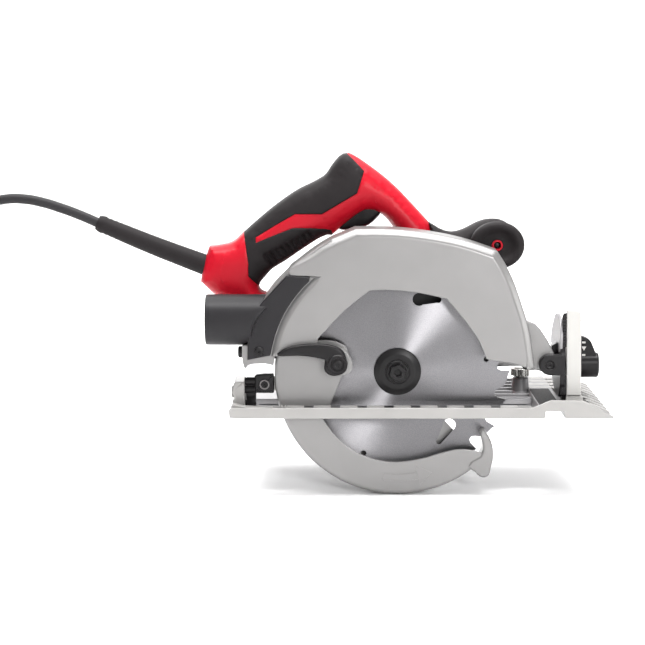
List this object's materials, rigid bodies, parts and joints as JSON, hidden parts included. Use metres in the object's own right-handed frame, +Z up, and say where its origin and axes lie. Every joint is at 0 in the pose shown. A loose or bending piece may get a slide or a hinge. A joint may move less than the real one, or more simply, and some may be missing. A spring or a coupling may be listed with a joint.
{
  "type": "circular saw",
  "caption": "Corded sidewinder circular saw with fixed and swinging guards, tilting shoe, D handle, knob handle, dust port and coiled mains lead.",
  "frame": {"origin": "the point on the shoe's sole under the arbor, in the plane of the blade", "axes": "+X is the cutting direction, +Y runs from the blade to the motor, +Z is up out of the sole"},
  "size_m": [0.684, 0.2195, 0.287],
  "materials": {
    "cast_silver": "painted cast magnesium, fine satin grain",
    "cast_gear": "bare cast aluminium",
    "red_plastic": "moulded nylon, fine spark texture",
    "black_plastic": "moulded nylon, fine texture",
    "grey_plastic": "moulded nylon, satin",
    "grip_rubber": "soft ribbed overmould",
    "cord_rubber": "smooth neoprene",
    "black_steel": "blackened steel",
    "zinc_steel": "zinc plated",
    "blade_steel": "ground steel, circular grain",
    "gear_steel": "hardened, oiled",
    "shoe_metal": "painted cast",
    "quadrant_paint": "pale enamel",
    "lamination": "stacked laminations",
    "copper_wire": "enamelled winding",
    "brass": "turned",
    "carbon": "pressed carbon",
    "fan_plastic": "moulded"
  },
  "bodies": {
    "head": {"upper_guard": "cast_silver", "gear_case": "cast_gear", "bearing_plate": "cast_gear", "motor_housing": "red_plastic", "motor_end_cap": "black_plastic", "field_core": "lamination", "field_coils": "copper_wire", "brush_holders": "brass", "brush_springs": "zinc_steel", "carbon_brushes": "carbon", "armature_bearings": "gear_steel", "spindle_bearings": "gear_steel", "handle_near": "red_plastic", "handle_far": "red_plastic", "grip_cover": "grip_rubber", "switch_body": "black_plastic", "trigger_pin": "zinc_steel", "trigger_spring": "zinc_steel", "aux_handle": "grey_plastic", "aux_handle_ring": "red_plastic", "dust_nozzle": "grey_plastic", "nozzle_screws": "black_steel", "handle_screws": "black_steel", "motor_screws": "black_steel", "depth_bolt": "zinc_steel", "guard_spring": "zinc_steel", "cord_sleeve": "cord_rubber", "cord": "cord_rubber", "cord_coil": "cord_rubber", "cord_tie": "black_plastic", "plug_body": "black_plastic", "plug_pins": "brass"},
    "blade": {"blade": "blade_steel", "inner_flange": "black_steel", "outer_flange": "black_steel", "blade_bolt": "black_steel", "spindle": "gear_steel", "driven_gear": "gear_steel"},
    "armature": {"armature_shaft": "gear_steel", "armature_core": "lamination", "commutator": "copper_wire", "cooling_fan": "fan_plastic", "pinion": "gear_steel"},
    "lower_guard": {"lower_guard": "cast_silver", "guard_lever": "black_plastic", "lever_screw": "black_steel"},
    "trigger": {"trigger": "black_plastic"},
    "lock_off_button": {"lock_off_button": "black_plastic"},
    "spindle_lock_button": {"spindle_lock_button": "black_plastic"},
    "depth_lever": {"depth_lever": "black_plastic"},
    "carrier": {"front_carrier": "black_steel", "carrier_screws": "black_steel", "rear_block": "black_steel", "depth_arm": "zinc_steel"},
    "shoe": {"shoe_plate": "shoe_metal", "bevel_quadrant": "quadrant_paint"},
    "bevel_lock": {"bevel_lock": "black_plastic"},
    "fence_screw": {"fence_screw": "zinc_steel"}
  },
  "joints": [
    {"name": "blade_spin", "type": "hinge", "parent": "head", "child": "blade", "pos_m": [0, 0, 0.035], "axis": [0, -1, 0], "continuous": true},
    {"name": "armature_spin", "type": "hinge", "parent": "head", "child": "armature", "pos_m": [-0.014, 0, 0.06153], "axis": [0, -1, 0], "continuous": true},
    {"name": "lower_guard_swing", "type": "hinge", "parent": "head", "child": "lower_guard", "pos_m": [0, 0, 0.035], "axis": [0, 1, 0], "range_deg": [0, 110], "stiffness_Nm_per_rad": 0.25, "springref_deg": -68.75},
    {"name": "trigger_squeeze", "type": "hinge", "parent": "head", "child": "trigger", "pos_m": [-0.021, 0, 0.171], "axis": [0, 1, 0], "range_deg": [0, 9], "stiffness_Nm_per_rad": 1.5, "springref_deg": -5.73},
    {"name": "lock_off_press", "type": "slide", "parent": "head", "child": "lock_off_button", "axis": [0, -1, 0], "range_m": [0, 0.003], "stiffness_N_per_m": 600, "springref_m": -0.001},
    {"name": "spindle_lock_press", "type": "slide", "parent": "head", "child": "spindle_lock_button", "axis": [-1, 0, 0], "range_m": [0, 0.0018], "stiffness_N_per_m": 600, "springref_m": -0.001},
    {"name": "depth_lever_turn", "type": "hinge", "parent": "head", "child": "depth_lever", "pos_m": [-0.07797, 0.028, 0.04559], "axis": [0, -1, 0], "range_deg": [0, 45]},
    {"name": "depth_swing", "type": "hinge", "parent": "head", "child": "carrier", "pos_m": [0.128, 0, 0.042], "axis": [0, -1, 0], "range_deg": [0, 25]},
    {"name": "bevel_tilt", "type": "hinge", "parent": "carrier", "child": "shoe", "pos_m": [0, 0, 0.008], "axis": [-1, 0, 0], "range_deg": [0, 45]},
    {"name": "bevel_lock_turn", "type": "hinge", "parent": "carrier", "child": "bevel_lock", "pos_m": [0.158, 0.04145, 0.03596], "axis": [1, 0, 0], "range_deg": [0, 60]},
    {"name": "fence_screw_turn", "type": "hinge", "parent": "shoe", "child": "fence_screw", "pos_m": [0.112, 0.075, 0.027], "axis": [0, 0, -1], "continuous": true}
  ],
  "couplings": [
    {"joint": "armature_spin", "follows": "blade_spin", "ratio": -4.5556}
  ]
}
